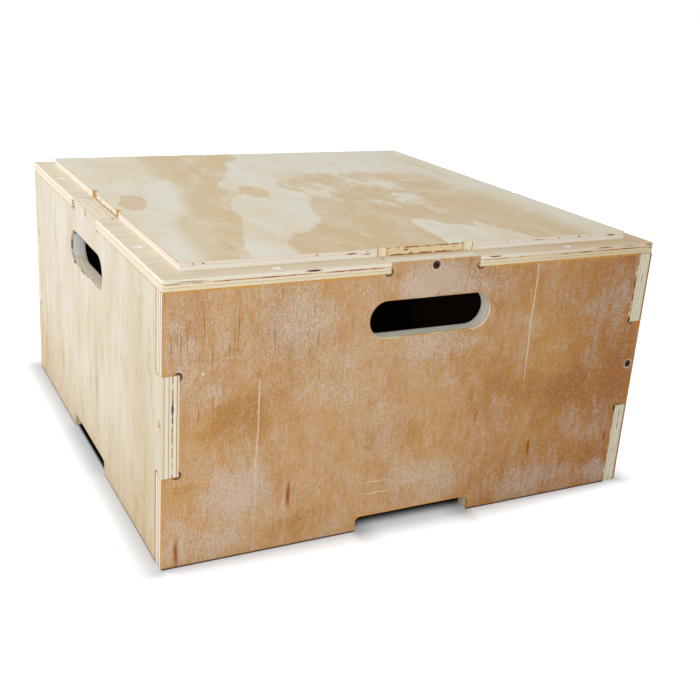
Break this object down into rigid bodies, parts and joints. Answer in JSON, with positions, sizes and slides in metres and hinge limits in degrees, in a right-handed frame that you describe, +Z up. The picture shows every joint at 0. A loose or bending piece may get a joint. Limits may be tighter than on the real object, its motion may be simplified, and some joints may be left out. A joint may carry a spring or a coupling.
{
  "type": "plyo box",
  "caption": "Square stackable plywood step box with finger-jointed walls, hand slots, floor notches and a raised locating board on its deck.",
  "frame": {"origin": "centre of the box's footprint, on the floor it stands on", "axes": "+Z up through the raised board, front panel's outer face towards -Y, +X to the right seen from the front"},
  "size_m": [0.601, 0.601, 0.321],
  "materials": {
    "brown_wall_ply": "raw reddish-brown face veneer, lightly worn",
    "pale_wall_ply": "raw pale face veneer",
    "deck_ply": "raw pale face veneer",
    "top_ply": "raw pale veneer with broad brown figure",
    "black_screw": "black",
    "tan_screw": "dull yellow zinc",
    "bright_screw": "bright zinc"
  },
  "bodies": {
    "root": {"front_panel": "brown_wall_ply", "right_panel": "brown_wall_ply", "back_panel": "pale_wall_ply", "left_panel": "pale_wall_ply", "deck": "deck_ply", "top_board": "top_ply", "front_corner_screw": "black_screw", "front_tab_screw": "black_screw", "right_corner_screw": "black_screw", "right_tab_screw": "black_screw", "back_corner_screw": "tan_screw", "back_tab_screw": "tan_screw", "left_corner_screw": "tan_screw", "left_tab_screw": "tan_screw", "front_rim_screw_left": "bright_screw", "front_rim_screw_right": "bright_screw", "right_rim_screw_left": "bright_screw", "right_rim_screw_right": "bright_screw", "back_rim_screw_left": "bright_screw", "back_rim_screw_right": "bright_screw", "left_rim_screw_left": "bright_screw", "left_rim_screw_right": "bright_screw", "board_screw_1": "bright_screw", "board_screw_2": "bright_screw", "board_screw_3": "bright_screw", "board_screw_4": "bright_screw", "board_screw_5": "bright_screw"}
  },
  "joints": []
}
